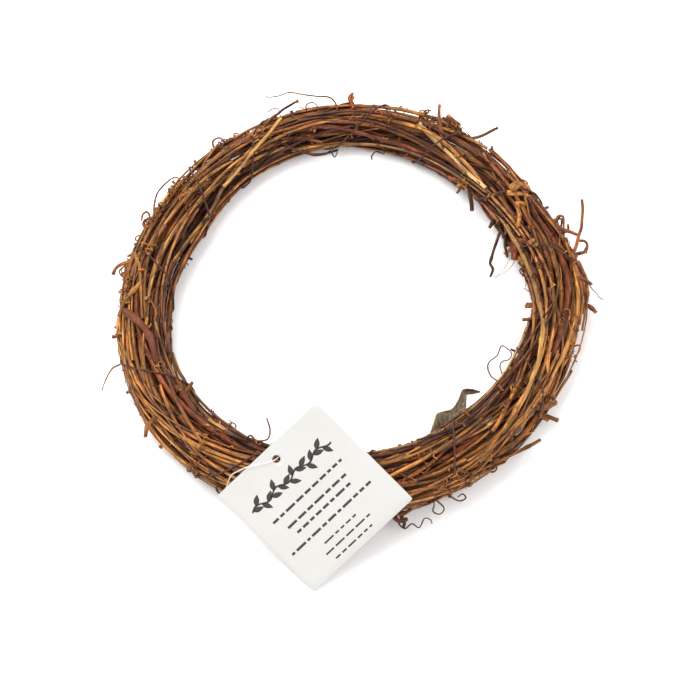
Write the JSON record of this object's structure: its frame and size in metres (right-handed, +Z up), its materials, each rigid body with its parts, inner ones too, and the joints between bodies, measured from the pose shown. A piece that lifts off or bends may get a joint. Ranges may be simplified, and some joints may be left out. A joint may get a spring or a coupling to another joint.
{
  "type": "grapevine wreath",
  "caption": "Ring of dried grapevine canes bound with one dark spiral wire, with a dried leaf and a blank square card on a nylon loop.",
  "frame": {"origin": "under the middle of the whole piece's box, on the surface that it lies on", "axes": "+Z up along the ring's axis; -Y is the side that the card hangs on; +X to the right of that view"},
  "size_m": [0.2082, 0.2317, 0.0491],
  "materials": {
    "cane_tan": "dry golden tan bark, satin",
    "cane_brown": "dry mid-brown bark",
    "cane_red": "dry red-brown bark",
    "cane_dark": "rough dark bark",
    "wire": "dark purplish-brown lacquer, satin",
    "leaf": "dried grey-olive leaf, matte",
    "card": "off-white card, plain, matte",
    "nylon": "clear nylon filament"
  },
  "bodies": {
    "root": {"cane_straw": "cane_tan", "cane_olive": "cane_brown", "cane_red": "cane_red", "cane_bark": "cane_dark", "cane_dark": "cane_dark", "cane_bowed": "cane_tan", "cane_long_end": "cane_brown", "cane_low_end": "cane_red", "cane_rest_north": "cane_dark", "cane_rest_west": "cane_dark", "cane_rest_south": "cane_dark", "cane_01": "cane_tan", "cane_02": "cane_brown", "cane_03": "cane_tan", "cane_04": "cane_red", "cane_05": "cane_dark", "cane_06": "cane_tan", "cane_07": "cane_brown", "cane_08": "cane_tan", "cane_09": "cane_red", "cane_10": "cane_dark", "cane_11": "cane_tan", "cane_12": "cane_brown", "cane_13": "cane_tan", "cane_14": "cane_red", "cane_15": "cane_dark", "cane_16": "cane_tan", "cane_17": "cane_brown", "cane_18": "cane_tan", "cane_19": "cane_red", "cane_20": "cane_dark", "cane_21": "cane_tan", "cane_22": "cane_brown", "cane_23": "cane_tan", "cane_24": "cane_red", "cane_25": "cane_dark", "cane_26": "cane_tan", "cane_27": "cane_brown", "cane_28": "cane_tan", "cane_29": "cane_red", "cane_30": "cane_dark", "cane_31": "cane_tan", "cane_32": "cane_brown", "cane_33": "cane_tan", "cane_34": "cane_red", "cane_35": "cane_dark", "binding_wire": "wire", "vine_leaf": "leaf", "hang_tag": "card", "tag_loop": "nylon"}
  },
  "joints": []
}
